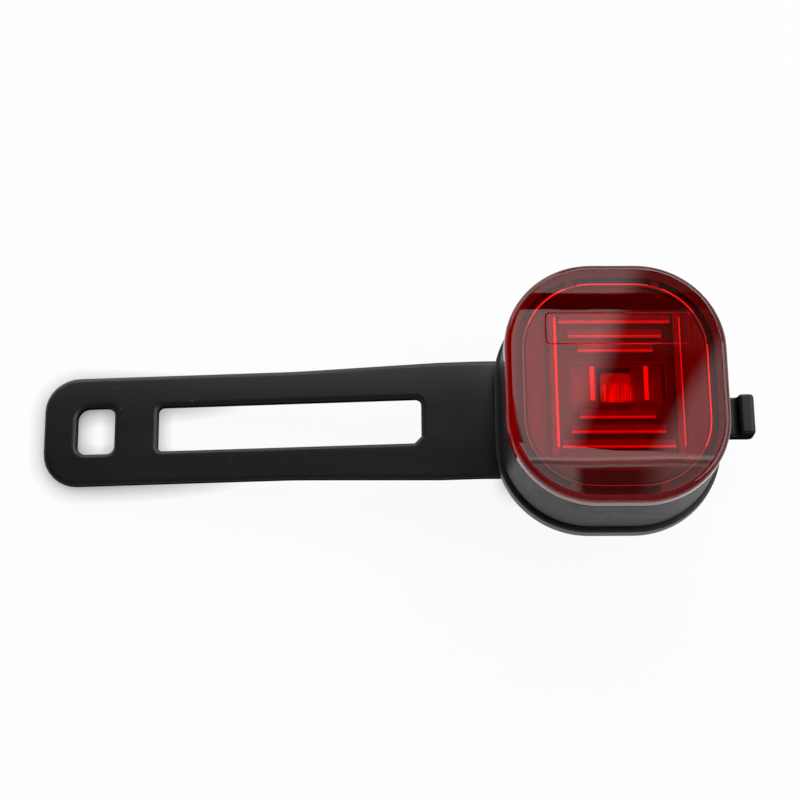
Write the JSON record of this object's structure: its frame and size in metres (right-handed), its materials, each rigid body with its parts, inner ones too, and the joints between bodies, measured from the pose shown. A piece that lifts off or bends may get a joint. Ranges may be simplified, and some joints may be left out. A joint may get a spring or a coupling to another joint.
{
  "type": "bicycle rear light",
  "caption": "Squared bicycle rear light with a clear red lens, black housing, and a slotted silicone strap that wraps a seat post and catches on a hook.",
  "frame": {"origin": "on the axis of the seat post, level with the middle of the saddle", "axes": "+Y along the post, up on the bicycle; +Z out of the lens, to the rear; the strap leaves the head towards -X"},
  "size_m": [0.1333, 0.0468, 0.0305],
  "materials": {
    "lens_red": "clear red moulded plastic, polished",
    "optic_red": "clear red moulded plastic with stepped prism bars",
    "seal_rubber": "black moulded rubber seal",
    "reflector_grey": "satin light grey plastic",
    "housing_black": "fine-grained black plastic",
    "cover_black": "fine-grained black plastic",
    "board_green": "green solder mask on glass-fibre board",
    "led_red": "clear red LED resin on a white base",
    "chip_black": "moulded epoxy",
    "switch_steel": "stamped steel cover",
    "button_rubber": "matte black silicone",
    "socket_steel": "stamped and plated steel shell",
    "flap_rubber": "matte black silicone",
    "cell_foil": "aluminium-laminate pouch",
    "foam_grey": "closed-cell foam tape",
    "lead_sheath": "insulated hook-up wire, one red and one black",
    "screw_steel": "zinc-plated steel with a cross recess",
    "bracket_black": "glass-filled black plastic",
    "pad_rubber": "grooved black rubber",
    "strap_silicone": "matte black silicone with softened edges"
  },
  "bodies": {
    "head": {"lens": "lens_red", "optic": "optic_red", "lens_seal": "seal_rubber", "reflector": "reflector_grey", "housing": "housing_black", "back_cover": "cover_black", "rear_seal": "seal_rubber", "circuit_board": "board_green", "led": "led_red", "board_chips": "chip_black", "tact_switch": "switch_steel", "usb_socket": "socket_steel", "battery_cell": "cell_foil", "battery_foam": "foam_grey", "battery_leads": "lead_sheath", "board_screws": "screw_steel", "cover_screws": "screw_steel", "mount_bracket": "bracket_black", "saddle_pad": "pad_rubber", "bracket_screws": "screw_steel", "strap_root": "strap_silicone"},
    "button": {"power_button": "button_rubber", "switch_plunger": "chip_black"},
    "flap": {"usb_flap": "flap_rubber"},
    "strap_1": {"strap_link_1": "strap_silicone"},
    "strap_2": {"strap_link_2": "strap_silicone"},
    "strap_3": {"strap_link_3": "strap_silicone"},
    "strap_4": {"strap_link_4": "strap_silicone"},
    "strap_5": {"strap_link_5": "strap_silicone"},
    "strap_6": {"strap_link_6": "strap_silicone"},
    "strap_7": {"strap_link_7": "strap_silicone"}
  },
  "joints": [
    {"name": "button_press", "type": "slide", "parent": "head", "child": "button", "axis": [0, -1, 0], "range_m": [0, 0.0006], "stiffness_N_per_m": 1500},
    {"name": "flap_swing", "type": "hinge", "parent": "head", "child": "flap", "pos_m": [0.0192, 0.0056, 0.028], "axis": [0, 0, 1], "range_deg": [0, 110]},
    {"name": "strap_bend_1", "type": "hinge", "parent": "head", "child": "strap_1", "pos_m": [-0.0228, 0, 0.0144], "axis": [0, -1, 0], "range_deg": [0, 43], "stiffness_Nm_per_rad": 0.004},
    {"name": "strap_bend_2", "type": "hinge", "parent": "strap_1", "child": "strap_2", "pos_m": [-0.02728, 0, 0.01399], "axis": [0, -1, 0], "range_deg": [0, 43], "stiffness_Nm_per_rad": 0.004},
    {"name": "strap_bend_3", "type": "hinge", "parent": "strap_2", "child": "strap_3", "pos_m": [-0.03176, 0, 0.01358], "axis": [0, -1, 0], "range_deg": [0, 43], "stiffness_Nm_per_rad": 0.004},
    {"name": "strap_bend_4", "type": "hinge", "parent": "strap_3", "child": "strap_4", "pos_m": [-0.05815, 0, 0.01118], "axis": [0, -1, 0], "range_deg": [0, 28], "stiffness_Nm_per_rad": 0.004},
    {"name": "strap_bend_5", "type": "hinge", "parent": "strap_4", "child": "strap_5", "pos_m": [-0.06652, 0, 0.01042], "axis": [0, -1, 0], "range_deg": [0, 28], "stiffness_Nm_per_rad": 0.004},
    {"name": "strap_bend_6", "type": "hinge", "parent": "strap_5", "child": "strap_6", "pos_m": [-0.07488, 0, 0.00966], "axis": [0, -1, 0], "range_deg": [0, 28], "stiffness_Nm_per_rad": 0.004},
    {"name": "strap_bend_7", "type": "hinge", "parent": "strap_6", "child": "strap_7", "pos_m": [-0.08325, 0, 0.0089], "axis": [0, -1, 0], "range_deg": [0, 28], "stiffness_Nm_per_rad": 0.004}
  ]
}
